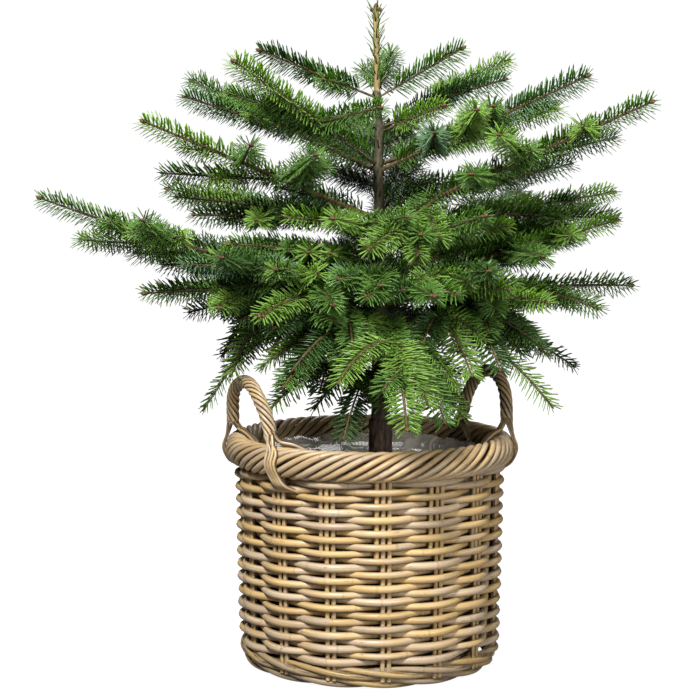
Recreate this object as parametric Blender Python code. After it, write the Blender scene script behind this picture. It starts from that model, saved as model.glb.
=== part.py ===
# Young Nordmann fir growing in a round woven cane basket with two rope handles.
# Metres, +Z up. The origin is the centre of the basket's flat underside.
import math
import random

import bmesh
import bpy
import numpy as np
from mathutils.bvhtree import BVHTree

GAP = 0.0003                    # clearance between pieces that touch
UP = np.array([0.0, 0.0, 1.0])

# Basket
STAKES = 15                     # odd, so that one weaver alternates by itself
FIRST_STAKE = 10.8              # its azimuth
COURSES = 27                    # turns of the weaver
COLUMNS = 2 * STAKES            # wall corners a turn: on each stake and between
WALL_OUTSIDE_TOP = 0.186
WALL_OUTSIDE_FOOT = 0.180
WALL_INSIDE = 0.160
WEAVE_DEPTH = 0.008             # how far a strand over a stake stands out
WEAVE_FOOT = 0.0285             # middle of the first course
WEAVE_TOP = 0.2705              # where the last one ends
WALL_TOP = 0.2717
FOOT_HEIGHT = 0.024
FOOT_OUTSIDE = 0.1695
FOOT_STEP_IN = 0.003            # the foot's rods swell out to just short of the wall
FOOT_STEP_HEIGHT = 0.009
FOOT_ROD_LIFT = 0.003           # a rod stands out this much at every second corner
FLOOR_RADIUS = 0.1495
BORDER_RADIUS = 0.180
BORDER_HEIGHT = 0.2925
ROPE_WIDTH = 0.0175              # half the border's width, over its strands
ROPE_RISE = 0.0205               # half its height
ROPE_GROOVE = 0.88               # how deep the grooves between strands go
BORDER_STRANDS = 36             # half as many as life, each twice as wide
BORDER_SIDES = 6
BORDER_SKEW = 2                 # columns a strand moves on from one side to the next
SEAT_GAP = 0.0005               # between the border and the handle legs cut to it
HANDLES = {"handle_left": 203.5, "handle_right": 21.0}
HANDLE_SPREAD = 23.0            # degrees from the middle of a handle to its leg
HANDLE_FOOT_OUT = 0.008         # the legs stand outside the border's middle line
HANDLE_TOP = 0.399
HANDLE_ROPE = 0.0086
HANDLE_STATIONS = 17
HANDLE_SIDES = 8
HANDLE_GROOVE = 0.82            # how deep the grooves between its canes go
HANDLE_TWIST = 0.55             # radians from one station to the next

# Root ball and film
SOIL_TOP = 0.250
LINER_WALL = 0.0010
LINER_TOP = 0.298
LINER_CREASE = 0.006

# Trunk: the lean is where the axis stands at each height
TRUNK_LEAN = [(0.2503, 0.0150), (0.45, 0.0140), (0.60, 0.0125), (0.672, 0.0110),
              (0.721, 0.0130), (0.766, 0.0095), (0.893, 0.0075)]
TRUNK_SIDES = 12
TRUNK_FOOT = SOIL_TOP + GAP
TRUNK_TOP = 0.893
BARK_SHOULDER = 0.330           # the thick old bark ends here
SHOULDER_UNDER = 0.001          # the step from bark to stem, under and over its height
SHOULDER_OVER = 0.005
FOOT_RADIUS = 0.0160
FLARE = 0.0030
FLARE_HEIGHT = 0.014
STEM_RADIUS = 0.0132            # just above the shoulder
LEADER_RADIUS = 0.0040
LEADER_TAPER = 0.0010           # how much thicker its foot is
LEADER_FOOT = 0.775
BUD_RADIUS = 0.0056
BUD_LENGTH = 0.011
BUD_BLUNTNESS = 0.08            # squared share of the bud's radius left at its ends
BUD_STATIONS = (5.0, 1.02, 0.8, 0.5, 0.2, 0.0)    # bud lengths under the top
MIDDLE_STATION = 0.390
WHORLS = (0.505, 0.597, 0.672, 0.721, 0.766)
WHORL_SWELL = 0.0020
WHORL_REACH = 0.010

# Side shoots clockwise and anticlockwise of a bough: angle off its heading, and rise.
# There is a pair for each year's end, and the last pair serves the years after it.
RISING = (((48, 18), (48, 18)),)
EVEN = (((48, 8), (48, 8)),)
LEVEL = (((48, 0), (48, 0)),)
HANGING = (((44, -24), (44, -24)),)

# Boughs: foot height, azimuth, rise, length, sag, years of growth and side shoots. Sag
# is how far the middle hangs under the straight line from foot to tip, so an arching
# bough has a negative one.
BOUGHS = {
    "a_left": (0.766, 184, 21.7, 0.168, 0.000, 1, EVEN),
    "a_right": (0.766, -10, 29.7, 0.130, 0.000, 1, EVEN),
    "a_back": (0.770, 80, 28.0, 0.130, 0.000, 1, EVEN),
    "inter_front": (0.7207, -42, 16.9, 0.113, 0.000, 1, EVEN),
    "inter_back": (0.7240, 28, 25.2, 0.224, 0.000, 2, RISING),
    "b_left": (0.676, 225, 26.6, 0.289, 0.000, 2, (((44, 12), (78, 0)),)),
    "b_right": (0.668, -24, 22.8, 0.314, 0.000, 2, (((66, 6), (48, 10)),)),
    "b_back_left": (0.668, 155, 23.6, 0.313, 0.000, 2, RISING),
    "b_back_right": (0.676, 40, 16.0, 0.250, 0.000, 2, EVEN),
    "b_back": (0.664, 98, 20.0, 0.260, 0.000, 2, RISING),
    "c_left": (0.602, 205, 21.3, 0.357, 0.000, 2, (((34, 0), (76, 8)),)),
    "c_right": (0.598, -30, 22.1, 0.416, 0.000, 3, (((80, -44), (46, 10)), ((72, 0), (46, 10)))),
    "c_front": (0.588, 252, 6.5, 0.197, 0.000, 2, EVEN),
    "c_back_left": (0.594, 163, 9.0, 0.310, 0.000, 3, (((50, 6), (40, 0)),)),
    "c_back_right": (0.590, 18, 7.8, 0.350, 0.000, 2, (((40, 0), (46, 4)),)),
    "c_back": (0.602, 82, 14.0, 0.320, 0.000, 2, EVEN),
    "c_low_front": (0.560, -52, 14.0, 0.216, 0.000, 2, EVEN),
    "c_low_left": (0.555, 207, 5.0, 0.220, 0.000, 2, LEVEL),
    "d_left": (0.505, 193, 15.8, 0.471, 0.010, 4, (((40, -6), (66, 2)),)),
    "d_low_left": (0.486, 202, 4.5, 0.330, -0.010, 3, (((36, -10), (44, -12)),)),
    "d_right": (0.509, -10, 16.6, 0.328, 0.000, 3, (((62, -8), (42, 2)),)),
    "d_right_low": (0.488, 9, 3.6, 0.352, -0.008, 3, (((46, -12), (40, -12)),)),
    "d_back_right": (0.526, 31, 14.2, 0.375, 0.000, 3, LEVEL),
    "d_back": (0.500, 97, 12.0, 0.340, 0.000, 2, LEVEL),
    "d_back_left": (0.509, 146, 10.0, 0.350, 0.000, 3, LEVEL),
    "d_front_left": (0.496, 236, -1.0, 0.270, -0.020, 3, LEVEL),
    "d_front": (0.500, 285, 4.0, 0.240, -0.010, 3, LEVEL),
    "e_left": (0.464, 188, -25.5, 0.266, -0.070, 3, (((30, -40), (34, -40)),)),
    "e_front_left": (0.450, 238, -12.0, 0.240, -0.030, 3, HANGING),
    "e_front": (0.455, 275, -16.8, 0.325, -0.050, 3, (((44, -24), (26, -50)),)),
    "e_right": (0.452, -25, -20.0, 0.262, -0.050, 3, HANGING),
    "e_far_right": (0.466, 5, -13.6, 0.275, -0.032, 3, HANGING),
    "e_back": (0.456, 92, -12.0, 0.300, -0.040, 2, HANGING),
    "e_back_left": (0.450, 145, -14.0, 0.270, -0.040, 3, HANGING),
    "f_left": (0.408, 209, -17.0, 0.175, -0.025, 2, HANGING),
    "f_front": (0.395, 250, -26.0, 0.160, -0.030, 2, HANGING),
    "f_right": (0.402, -40, -22.0, 0.150, -0.025, 2, HANGING),
    "f_back": (0.420, 50, -25.0, 0.200, -0.020, 2, HANGING),
}
LIMB_FROM = 0.315               # a bough this long shows a bare woody limb
LIMB_SHARE = {2: 0.22, 3: 0.20, 4: 0.30}    # by years of growth
LIMB_SIDES = 6
LIMB_STATIONS = 5
LIMB_FOOT_RADIUS = 0.0140       # times the bough's length
LIMB_TIP_RADIUS = 0.0026
LIMB_TAPER = 0.6                # under 1: it thins fastest near the trunk
YEARLY_GAIN = 1.35              # each year's growth against the year before
SIDE_ANGLE = 46.0               # on side shoots
SIDE_SHARE = 0.78
LONGEST_SIDE = 0.190
ANGLE_SPREAD = 0.16             # random shares of a side shoot's angle and length
LENGTH_SPREAD = 0.20
RISE_SPREAD = 6.0               # degrees
SHORTEST_SHOOTS = (0.0, 0.062, 0.102)    # by order: bough, its side shoots, theirs
SHOOT_LENGTHS = (1.0, 0.75, 0.55)    # tried in turn where room is short
SEED = 41

# Needle sprays: a three-sided twig with a tooth of needles on every face
TOOTH_PITCH = 0.0340
TWIG_ROOT_RADIUS = 0.0045
TWIG_TIP_RADIUS = 0.0028
SIDE_REACH = 0.0240
TOP_REACH = 0.0180
UNDER_REACH = 0.0180
TOOTH_LEAN = 0.0150
LIMB_BARE_ROOT = 0.006
TRUNK_BARE_ROOT = 0.012
TIP_TOOTH = 0.007
CLEAR_TWIG = 0.0006
CLEAR_TOOTH = 0.0012

# Needles round the leader stand out of a sleeve that is clear of the trunk
SLEEVE_FOOT = 0.790
SLEEVE_TOP = 0.878
SLEEVE_WALL = 0.0012
SLEEVE_CLEAR = 0.001
SLEEVE_SIDES = 6
SLEEVE_STATIONS = 7
LEADER_REACH = 0.0130
LEADER_LEAN = 0.0140

# Base colour and roughness
FINISHES = {
    "cane": ((0.50, 0.36, 0.21), 0.7),
    "cane_dark": ((0.44, 0.31, 0.18), 0.7),
    "film": ((0.82, 0.85, 0.86), 0.2),
    "soil": ((0.05, 0.032, 0.02), 0.95),
    "bark": ((0.12, 0.085, 0.065), 0.9),
    "twig": ((0.20, 0.12, 0.06), 0.85),
    "needles_top": ((0.10, 0.22, 0.05), 0.55),
    "needles_mid": ((0.06, 0.16, 0.05), 0.55),
    "needles_low": ((0.04, 0.11, 0.04), 0.55),
}


def clear_scene():
    for obj in list(bpy.data.objects):
        bpy.data.objects.remove(obj, do_unlink=True)


def add_material(name, colour, roughness):
    material = bpy.data.materials.new(name)
    material.use_nodes = True
    shader = material.node_tree.nodes["Principled BSDF"]
    shader.inputs["Base Color"].default_value = (*colour, 1.0)
    shader.inputs["Roughness"].default_value = roughness
    shader.inputs["Metallic"].default_value = 0.0
    return material


def add_object(name, corners, faces, smooth=False):
    mesh = bpy.data.meshes.new(name)
    mesh.from_pydata([tuple(corner) for corner in corners], [], faces)
    shape = bmesh.new()
    shape.from_mesh(mesh)
    bmesh.ops.recalc_face_normals(shape, faces=shape.faces)
    shape.to_mesh(mesh)
    shape.free()
    obj = bpy.data.objects.new(name, mesh)
    bpy.context.scene.collection.objects.link(obj)
    if smooth:
        mesh.shade_smooth()
        mesh.set_sharp_from_angle(angle=math.radians(50))
    return obj


def finish(obj, kind):
    obj.data.materials.clear()
    obj.data.materials.append(add_material(obj.name, *FINISHES[kind]))


def radial(azimuth):
    angle = math.radians(azimuth)
    return np.array([math.cos(angle), math.sin(angle), 0.0])


# The basket's pieces have their corners on the same columns, from the first stake on
def spoke(column):
    return radial(FIRST_STAKE + 360.0 * column / COLUMNS)


def unit(vector):
    return vector / np.linalg.norm(vector)


# A closed band round the axis: corner(row, column) gives each place, rows close on
# themselves after a shift of columns, and columns close on themselves. Its faces are
# cut in three-sided halves, so that a copy grown by a clearance keeps the same creases.
def band(name, rows, columns, corner, shift=0, smooth=True):
    corners = [corner(row, column) for row in range(rows) for column in range(columns)]
    faces = []
    for row in range(rows):
        turn = shift if row == rows - 1 else 0
        above = (row + 1) % rows * columns
        for column in range(columns):
            low = (row * columns + column, row * columns + (column + 1) % columns)
            high = (above + (column + turn) % columns, above + (column + 1 + turn) % columns)
            faces += [(low[0], low[1], high[1]), (low[0], high[1], high[0])]
    return add_object(name, corners, faces, smooth)


# A tube through rings of corners, with flat ends
def tube(name, rings, smooth=True):
    sides = len(rings[0])
    corners = [corner for ring in rings for corner in ring]
    faces = [tuple(reversed(range(sides)))]
    for first in range(0, len(corners) - sides, sides):
        for side in range(sides):
            across = (side + 1) % sides
            faces.append((first + side, first + across,
                          first + sides + across, first + sides + side))
    faces.append(tuple(range(len(corners) - sides, len(corners))))
    return add_object(name, corners, faces, smooth)


def ring(centre, side, up, radii, turn=0.0):
    corners = []
    for index, radius in enumerate(radii):
        angle = turn + 2 * math.pi * index / len(radii)
        corners.append(centre + radius * (math.cos(angle) * side + math.sin(angle) * up))
    return corners


def disc(name, radius, low, high):
    rings = [[radius * spoke(column) + height * UP for column in range(COLUMNS)]
             for height in (low, high)]
    return tube(name, rings)


# One weaver climbs round the stakes, over one and under the next, and each turn ends a
# course above its start. Its courses are rows of corners between the wall's flat rings.
def make_wall():
    low = FOOT_HEIGHT + GAP
    tall = WEAVE_TOP - WEAVE_FOOT

    def flat_ring(radius, height):
        return [radius * spoke(column) + height * UP for column in range(COLUMNS)]

    def woven(course, column):
        share = (course + column / COLUMNS) / COURSES
        outside = WALL_OUTSIDE_FOOT + (WALL_OUTSIDE_TOP - WALL_OUTSIDE_FOOT) * share
        stake, between = divmod(column, 2)
        over = (stake + course) % 2 == 0
        depth = 0.5 if between else 0.0 if over else 1.0
        return (outside - depth * WEAVE_DEPTH) * spoke(column) + (WEAVE_FOOT + tall * share) * UP

    corners = flat_ring(WALL_INSIDE, low)
    corners += flat_ring(WALL_OUTSIDE_FOOT - 0.5 * WEAVE_DEPTH, low)
    corners += [woven(course, column) for course in range(COURSES) for column in range(COLUMNS)]
    corners += flat_ring(WALL_OUTSIDE_TOP - 0.5 * WEAVE_DEPTH, WALL_TOP)
    corners += flat_ring(WALL_INSIDE, WALL_TOP)
    rows = COURSES + 4
    faces = []

    def quad(a, b, c, d):
        faces.extend([(a, b, c), (a, c, d)])

    for row in range(rows):
        flat = row in (0, rows - 2, rows - 1)
        for column in range(COLUMNS if flat else COLUMNS - 1):
            across = (column + 1) % COLUMNS
            above = (row + 1) % rows * COLUMNS
            quad(row * COLUMNS + column, row * COLUMNS + across, above + across, above + column)
    ends = [row * COLUMNS + COLUMNS - 1 for row in range(1, rows - 1)]
    starts = [row * COLUMNS for row in range(1, rows - 1)]
    faces.append((ends[0], starts[0], starts[1]))
    for course in range(COURSES):       # a turn's end meets the start of the next
        quad(ends[course], starts[course + 1], starts[course + 2], ends[course + 1])
    faces.append((ends[-2], starts[-1], ends[-1]))
    return add_object("basket_wall", corners, faces, smooth=True)


def make_foot():
    profile = [(FLOOR_RADIUS + GAP, 0.0), (FOOT_OUTSIDE, 0.0),
               (WALL_OUTSIDE_FOOT - FOOT_STEP_IN, FOOT_STEP_HEIGHT),
               (WALL_OUTSIDE_FOOT, FOOT_HEIGHT), (FLOOR_RADIUS + GAP, FOOT_HEIGHT)]

    def corner(row, column):
        radius, height = profile[row]
        lift = FOOT_ROD_LIFT if row == 2 and column % 2 else 0.0
        return (radius + lift) * spoke(column) + height * UP

    return band("basket_foot", len(profile), COLUMNS, corner)


# The border's strands slant once round its section as they go round the basket
def border_band(name, wider=0.0):
    columns = 2 * BORDER_STRANDS

    def corner(row, column):
        azimuth = 360.0 * (column + BORDER_SKEW * row) / columns
        around = 2 * math.pi * row / BORDER_SIDES - math.pi / 2
        depth = 1.0 if column % 2 == 0 else ROPE_GROOVE
        across = BORDER_RADIUS + (depth * ROPE_WIDTH + wider) * math.cos(around)
        height = BORDER_HEIGHT + (depth * ROPE_RISE + wider) * math.sin(around)
        return across * radial(azimuth) + height * UP

    return band(name, BORDER_SIDES, columns, corner, BORDER_SKEW * BORDER_SIDES)


def make_liner():
    outside = WALL_INSIDE - GAP
    inside = outside - LINER_WALL
    low = FOOT_HEIGHT + GAP
    chance = random.Random(SEED)
    crease = [chance.uniform(-1, 1) * LINER_CREASE for _ in range(COLUMNS)]
    corners = []
    for radius, height, creased in ((outside, low, 0), (outside, LINER_TOP, 1),
                                    (inside, LINER_TOP, 1), (inside, low + LINER_WALL, 0)):
        for column in range(COLUMNS):
            rim = crease[column] if creased else 0.0
            corners.append(radius * spoke(column) + (height + rim) * UP)
    faces = [tuple(reversed(range(COLUMNS)))]
    for first in range(0, 3 * COLUMNS, COLUMNS):
        for column in range(COLUMNS):
            across = (column + 1) % COLUMNS
            faces.append((first + column, first + across,
                          first + COLUMNS + across, first + COLUMNS + column))
    faces.append(tuple(range(3 * COLUMNS, 4 * COLUMNS)))
    return add_object("film_liner", corners, faces)


def make_root_ball():
    radius = WALL_INSIDE - LINER_WALL - 2 * GAP
    low = FOOT_HEIGHT + LINER_WALL + 2 * GAP
    return disc("root_ball", radius, low, SOIL_TOP)


# A rope arch whose legs are seated on the border, cut to its round top
def make_handle(name, middle):
    rings = []
    foot = BORDER_HEIGHT
    for station in range(HANDLE_STATIONS):
        share = station / (HANDLE_STATIONS - 1)
        swing = math.pi * share
        azimuth = middle - HANDLE_SPREAD * math.cos(swing)
        centre = (BORDER_RADIUS + HANDLE_FOOT_OUT * (1 - math.sin(swing))) * radial(azimuth)
        centre = centre + (foot + (HANDLE_TOP - HANDLE_ROPE - foot) * math.sin(swing)) * UP
        along = unit(radial(azimuth + 90) * math.sin(swing) * BORDER_RADIUS
                     * math.radians(HANDLE_SPREAD) + UP * (HANDLE_TOP - foot) * math.cos(swing))
        outward = radial(azimuth)
        radii = [HANDLE_ROPE * (1.0, HANDLE_GROOVE)[side % 2] for side in range(HANDLE_SIDES)]
        rings.append(ring(centre, outward, np.cross(along, outward), radii,
                          HANDLE_TWIST * station))
    handle = tube(name, rings)
    seat = border_band("seat_cutter", SEAT_GAP)
    seat.hide_render = True
    seat.display_type = "WIRE"
    cut = handle.modifiers.new("seat", "BOOLEAN")
    cut.operation = "DIFFERENCE"
    cut.solver = "EXACT"
    cut.object = seat
    apply_modifier(handle, cut)
    bpy.data.objects.remove(seat, do_unlink=True)
    keep_largest(handle)
    return handle


def apply_modifier(obj, modifier):
    bpy.context.view_layer.objects.active = obj
    bpy.ops.object.select_all(action="DESELECT")
    obj.select_set(True)
    bpy.ops.object.modifier_apply(modifier=modifier.name)


def trunk_axis(height):
    return np.array([np.interp(height, [low for low, _ in TRUNK_LEAN],
                               [lean for _, lean in TRUNK_LEAN]), 0.0, height])


def trunk_radius(height):
    if height < BARK_SHOULDER:
        flare = max(0.0, 1 - (height - TRUNK_FOOT) / FLARE_HEIGHT)
        return FOOT_RADIUS + FLARE * flare ** 2
    if height > TRUNK_TOP - BUD_LENGTH:
        share = (TRUNK_TOP - height) / BUD_LENGTH
        return BUD_RADIUS * math.sqrt(max(BUD_BLUNTNESS, 1 - (2 * share - 1) ** 2))
    share = min(1.0, (height - BARK_SHOULDER) / (LEADER_FOOT - BARK_SHOULDER))
    plain = STEM_RADIUS + (LEADER_RADIUS + LEADER_TAPER - STEM_RADIUS) * share
    if height > LEADER_FOOT:
        plain -= LEADER_TAPER * (height - LEADER_FOOT) / (TRUNK_TOP - LEADER_FOOT)
    swell = max(math.exp(-((height - whorl) / WHORL_REACH) ** 2) for whorl in WHORLS)
    return plain + WHORL_SWELL * swell


def trunk_stations():
    heights = [TRUNK_FOOT, TRUNK_FOOT + 0.5 * FLARE_HEIGHT, TRUNK_FOOT + FLARE_HEIGHT,
               BARK_SHOULDER - SHOULDER_UNDER, BARK_SHOULDER + SHOULDER_OVER, MIDDLE_STATION]
    for whorl in WHORLS:
        heights += [whorl - WHORL_REACH, whorl, whorl + WHORL_REACH]
    heights += [TRUNK_TOP - BUD_LENGTH * share for share in BUD_STATIONS]
    return sorted(heights)


def make_trunk():
    rings = [ring(trunk_axis(height), radial(0), radial(90), [trunk_radius(height)] * TRUNK_SIDES)
             for height in trunk_stations()]
    return tube("trunk", rings)


# How far out the trunk's flat-sided mesh stands towards an azimuth, anywhere within a
# reach up, down and sideways of a height
def trunk_surface(azimuth, height, reach):
    heights = trunk_stations()
    radii = [trunk_radius(station) for station in heights]
    near = [height - reach, height, height + reach]
    near += [station for station in heights if abs(station - height) < reach]
    radius = max(np.interp(place, heights, radii) for place in near)
    half = math.pi / TRUNK_SIDES
    from_face = abs(math.radians(azimuth) % (2 * half) - half)
    on_face = radius * math.cos(half) / math.cos(from_face) + reach * math.tan(from_face)
    return min(radius * math.cos(half - from_face), on_face)


def heading(azimuth, rise):
    angle = math.radians(rise)
    return math.cos(angle) * radial(azimuth) + math.sin(angle) * UP


# An axis is one bough or side shoot. Shares of its length run from 0 at its foot to 1.
def axis_point(axis, share):
    straight = heading(axis["azimuth"], axis["rise"]) * axis["length"] * share
    return axis["foot"] + straight - 4 * axis["sag"] * share * (1 - share) * UP


def axis_direction(axis, share):
    straight = heading(axis["azimuth"], axis["rise"]) * axis["length"]
    return unit(straight - 4 * axis["sag"] * (1 - 2 * share) * UP)


def axis_slope(axis, share):
    along = axis_direction(axis, share)
    return math.degrees(math.asin(along[2]))


def year_ends(years):
    growth = np.cumsum([YEARLY_GAIN ** year for year in range(years)])
    return growth / growth[-1]


def bough_axis(name):
    height, azimuth, rise, length, sag, years, sides = BOUGHS[name]
    return {"order": 0, "foot": trunk_axis(height), "azimuth": azimuth, "rise": rise,
            "length": length, "sag": sag, "years": years, "sides": sides}


# The pair of side shoots at the end of each year's growth but the last
def side_axes(axis, after, chance):
    shoots = []
    for year, share in enumerate(year_ends(axis["years"])[:-1]):
        pair = axis["sides"][min(year, len(axis["sides"]) - 1)]
        for turn, (angle, side_rise) in zip((-1, 1), pair):
            angle *= chance.uniform(1 - ANGLE_SPREAD, 1 + ANGLE_SPREAD)
            spread = chance.uniform(1 - LENGTH_SPREAD, 1 + LENGTH_SPREAD)
            length = (1 - share) * axis["length"] * SIDE_SHARE * spread
            length = min(length, LONGEST_SIDE)
            rise = (axis_slope(axis, share) + 2 * side_rise) / 3
            rise += chance.uniform(-RISE_SPREAD, RISE_SPREAD)
            order = axis["order"] + 1
            if share > after and order < len(SHORTEST_SHOOTS) and length > SHORTEST_SHOOTS[order]:
                shoots.append({"order": order, "foot": axis_point(axis, share),
                               "length": length, "rise": rise,
                               "azimuth": axis["azimuth"] + turn * angle,
                               "sag": axis["sag"] * length / axis["length"],
                               "years": axis["years"] - 1 - year,
                               "sides": (((SIDE_ANGLE, side_rise), (SIDE_ANGLE, side_rise)),)})
    return shoots


def across_and_up(along):
    across = unit(np.cross(along, UP))
    return across, np.cross(across, along)


# Corners and faces of one needle spray, from a share of its axis to the tip. The twig
# has three sides that turn by a sixth at each station, so its teeth point all ways. A
# face whose tooth isn't allowed stays flat.
def spray(axis, start, bare, level_root, allowed, wider=0.0):
    length = axis["length"] * (1 - start)
    stations = max(3, round((length - bare - TIP_TOOTH) / TOOTH_PITCH) + 1)
    reached = np.linspace(bare, length - TIP_TOOTH, stations)
    if bare > 0:
        reached = np.insert(reached, 0, 0.0)
    shares = start + (1 - start) * reached / length
    corners = []
    for index, share in enumerate(shares):
        along = axis_direction(axis, share)
        if level_root and index == 0:
            along = radial(axis["azimuth"])
        across, up = across_and_up(along)
        part = reached[index] / length
        radius = TWIG_ROOT_RADIUS + (TWIG_TIP_RADIUS - TWIG_ROOT_RADIUS) * part + wider
        turn = math.pi / 2 + math.pi / 3 * index
        corners += ring(axis_point(axis, share), across, up, [radius] * 3, turn)
    last = len(corners) - 3
    faces = [(2, 1, 0)]
    for index in range(len(shares) - 1):
        middle = 0.5 * (shares[index] + shares[index + 1])
        across, up = across_and_up(axis_direction(axis, middle))
        for side in range(3):
            angle = math.pi + math.pi / 3 * index + 2 * math.pi / 3 * side
            tall = TOP_REACH if math.sin(angle) > 0 else UNDER_REACH
            tip = axis_point(axis, middle) + TOOTH_LEAN * axis_direction(axis, middle)
            tip = tip + SIDE_REACH * math.cos(angle) * across + tall * math.sin(angle) * up
            low, other = 3 * index + side, 3 * index + (side + 1) % 3
            base = (low, other, other + 3, low + 3)
            if (bare > 0 and index == 0) or not allowed([corners[place] for place in base], tip):
                faces += [(low, other, other + 3), (low, other + 3, low + 3)]
                continue
            faces += tooth_faces(base, len(corners))
            corners.append(tip)
    apex = len(corners)
    corners.append(axis_point(axis, 1.0) + TIP_TOOTH * axis_direction(axis, 1.0))
    faces += [(last, last + 1, apex), (last + 1, last + 2, apex), (last + 2, last, apex)]
    return corners, faces


def tooth_faces(base, apex):
    return [(base[side], base[(side + 1) % 4], apex) for side in range(4)]


def bounds(corners):
    return np.min(corners, axis=0), np.max(corners, axis=0)


# What already stands where: each entry is an owner's name, its box and its tree of faces
class Space:
    def __init__(self):
        self.taken = []

    def add(self, owner, corners, faces):
        self.taken.append((owner, bounds(corners), BVHTree.FromPolygons(corners, faces)))

    def is_free(self, owner, corners, faces):
        low, high = bounds(corners)
        tree = None
        for other, (other_low, other_high), other_tree in self.taken:
            if other == owner or np.any(low > other_high) or np.any(high < other_low):
                continue
            tree = tree or BVHTree.FromPolygons(corners, faces)
            if tree.overlap(other_tree):
                return False
        return True


def add_solid_to(space, obj):
    corners = [np.array(vertex.co) for vertex in obj.data.vertices]
    space.add(obj.name, corners, [tuple(face.vertices) for face in obj.data.polygons])


def has_limb(axis):
    return axis["length"] >= LIMB_FROM


# Where the axis of a bough comes out of the trunk, as a share of its length
def trunk_share(axis):
    reach = limb_foot_radius(axis) if has_limb(axis) else TWIG_ROOT_RADIUS
    level = axis["length"] * math.cos(math.radians(axis["rise"]))
    share = 0.0
    for _ in range(4):
        height = axis_point(axis, share)[2]
        share = (trunk_surface(axis["azimuth"], height, reach) + GAP) / level
    return share


def limb_foot_radius(axis):
    return LIMB_FOOT_RADIUS * axis["length"]


def make_limb(name, axis):
    start = trunk_share(axis)
    end = LIMB_SHARE[axis["years"]]
    foot_radius = limb_foot_radius(axis)
    rings = []
    for station in range(LIMB_STATIONS):
        part = station / (LIMB_STATIONS - 1)
        share = start + (end - start) * part
        along = radial(axis["azimuth"]) if station == 0 else axis_direction(axis, share)
        across, up = across_and_up(along)
        radius = foot_radius + (LIMB_TIP_RADIUS - foot_radius) * part ** LIMB_TAPER
        rings.append(ring(axis_point(axis, share), across, up, [radius] * LIMB_SIDES))
    return tube(name, rings)


# Bare twigs first: every bough's own axis, then the side shoots, year by year, where
# there is room. The needles then fill the room that is left.
def grow_twigs(space):
    twigs = []
    waiting = []
    for seed, name in enumerate(BOUGHS, SEED):
        axis = bough_axis(name)
        chance = random.Random(seed)
        start = trunk_share(axis)
        bare = TRUNK_BARE_ROOT
        if has_limb(axis):
            start = LIMB_SHARE[axis["years"]] + GAP / axis["length"]
            bare = LIMB_BARE_ROOT
        twig = (axis, start, bare, not has_limb(axis))
        if place_twig(space, name, twig):
            twigs.append((name, twig))
            waiting += [(name, side, chance) for side in side_axes(axis, start, chance)]
    while waiting:
        later = []
        for name, axis, chance in waiting:
            for shrink in SHOOT_LENGTHS:
                shoot = dict(axis, length=axis["length"] * shrink)
                twig = (shoot, 0.0, 0.0, False)
                if place_twig(space, name, twig):
                    twigs.append((name, twig))
                    later += [(name, side, chance) for side in side_axes(shoot, 0.0, chance)]
                    break
        waiting = later
    return twigs


def place_twig(space, name, twig):
    shape = spray(*twig, lambda base, tip: False, CLEAR_TWIG)
    free = space.is_free(name, *shape)
    if free:
        space.add(name, *shape)
    return free


def grow_sprays(space):
    sprays = {name: [] for name in BOUGHS}
    for name, twig in grow_twigs(space):

        def has_room(base, tip):
            middle = sum(base) / 4
            corners = [corner + CLEAR_TWIG * unit(corner - middle) for corner in base]
            corners.append(tip + CLEAR_TOOTH * unit(tip - middle))
            return space.is_free(name, corners, tooth_faces((0, 1, 2, 3), 4))

        shape = spray(*twig, has_room)
        space.add(name, *shape)
        sprays[name].append(shape)
    return sprays


def fuse(name, shapes):
    mass = add_object(name, *shapes[0])
    if len(shapes) == 1:
        return mass
    others = bpy.data.collections.new(name + "_sprays")
    bpy.context.scene.collection.children.link(others)
    for index, shape in enumerate(shapes[1:]):
        part = add_object(f"{name}_{index}", *shape)
        bpy.context.scene.collection.objects.unlink(part)
        others.objects.link(part)
    union = mass.modifiers.new("union", "BOOLEAN")
    union.operation = "UNION"
    union.operand_type = "COLLECTION"
    union.collection = others
    union.solver = "MANIFOLD"
    apply_modifier(mass, union)
    for part in list(others.objects):
        bpy.data.objects.remove(part, do_unlink=True)
    bpy.data.collections.remove(others)
    keep_largest(mass)
    return mass


# Loose scraps are dropped, and a sealed hollow is filled by dropping its skin
def keep_largest(obj):
    shape = bmesh.new()
    shape.from_mesh(obj.data)
    shape.verts.ensure_lookup_table()
    islands = []
    seen = set()
    for start in shape.verts:
        if start in seen:
            continue
        island = {start}
        waiting = [start]
        while waiting:
            for edge in waiting.pop().link_edges:
                for vertex in edge.verts:
                    if vertex not in island:
                        island.add(vertex)
                        waiting.append(vertex)
        seen |= island
        islands.append(island)
    islands.sort(key=len)
    extra = [vertex for island in islands[:-1] for vertex in island]
    bmesh.ops.delete(shape, geom=extra, context="VERTS")
    shape.to_mesh(obj.data)
    shape.free()


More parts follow.
